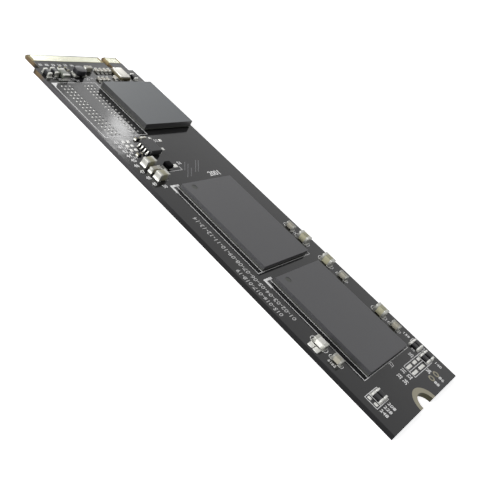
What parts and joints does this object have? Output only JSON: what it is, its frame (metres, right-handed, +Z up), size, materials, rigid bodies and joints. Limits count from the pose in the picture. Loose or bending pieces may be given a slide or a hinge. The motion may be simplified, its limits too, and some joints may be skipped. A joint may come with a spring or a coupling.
{
  "type": "m.2 solid-state drive",
  "caption": "Bare single-sided M.2 2280 solid-state drive: flat dark circuit board with a keyed gold edge connector, a half-round mounting notch and soldered flash packages.",
  "frame": {"origin": "middle of the board's underside, halfway between the connector edge and the mounting edge", "axes": "+X from the edge connector to the mounting notch, +Z up out of the face that carries the parts"},
  "size_m": [0.08, 0.022, 0.002],
  "materials": {
    "solder_mask_board": "satin dark grey solder mask on glass-epoxy",
    "gold_plating": "thin gold plating",
    "tinned_lands": "tinned copper",
    "moulding_compound": "matte black-grey moulding compound",
    "package_laminate": "dark green-black laminate edge",
    "solder": "reflowed solder",
    "tinned_leads": "tin-plated leads",
    "ferrite_moulding": "dark moulded ferrite",
    "crystal_ceramic": "brown ceramic",
    "crystal_lid_metal": "plated metal lid",
    "capacitor_ceramic": "pale tan ceramic",
    "dark_ceramic": "dark glazed ceramic",
    "tinned_ends": "tin-plated end caps",
    "legend_ink": "white legend ink"
  },
  "bodies": {
    "root": {"board": "solder_mask_board", "top_contacts": "gold_plating", "bottom_contacts": "gold_plating", "mount_ring": "gold_plating", "dram_pads": "tinned_lands", "part_lands": "tinned_lands", "bare_lands": "tinned_lands", "test_points": "tinned_lands", "controller_cap": "moulding_compound", "flash_a_cap": "moulding_compound", "flash_b_cap": "moulding_compound", "regulator_body": "moulding_compound", "controller_substrate": "package_laminate", "flash_a_substrate": "package_laminate", "flash_b_substrate": "package_laminate", "controller_balls": "solder", "flash_a_balls": "solder", "flash_b_balls": "solder", "regulator_leads": "tinned_leads", "choke_tabs": "tinned_leads", "choke_a_body": "ferrite_moulding", "choke_b_body": "ferrite_moulding", "crystal_base": "crystal_ceramic", "crystal_lid": "crystal_lid_metal", "tall_cap_bodies": "capacitor_ceramic", "large_cap_bodies": "capacitor_ceramic", "small_cap_bodies": "capacitor_ceramic", "coupling_cap_bodies": "capacitor_ceramic", "resistor_bodies": "dark_ceramic", "small_resistor_bodies": "dark_ceramic", "small_bead_bodies": "dark_ceramic", "large_bead_bodies": "dark_ceramic", "tall_cap_ends": "tinned_ends", "large_cap_ends": "tinned_ends", "small_cap_ends": "tinned_ends", "coupling_cap_ends": "tinned_ends", "resistor_ends": "tinned_ends", "small_resistor_ends": "tinned_ends", "small_bead_ends": "tinned_ends", "large_bead_ends": "tinned_ends", "legend": "legend_ink"}
  },
  "joints": []
}
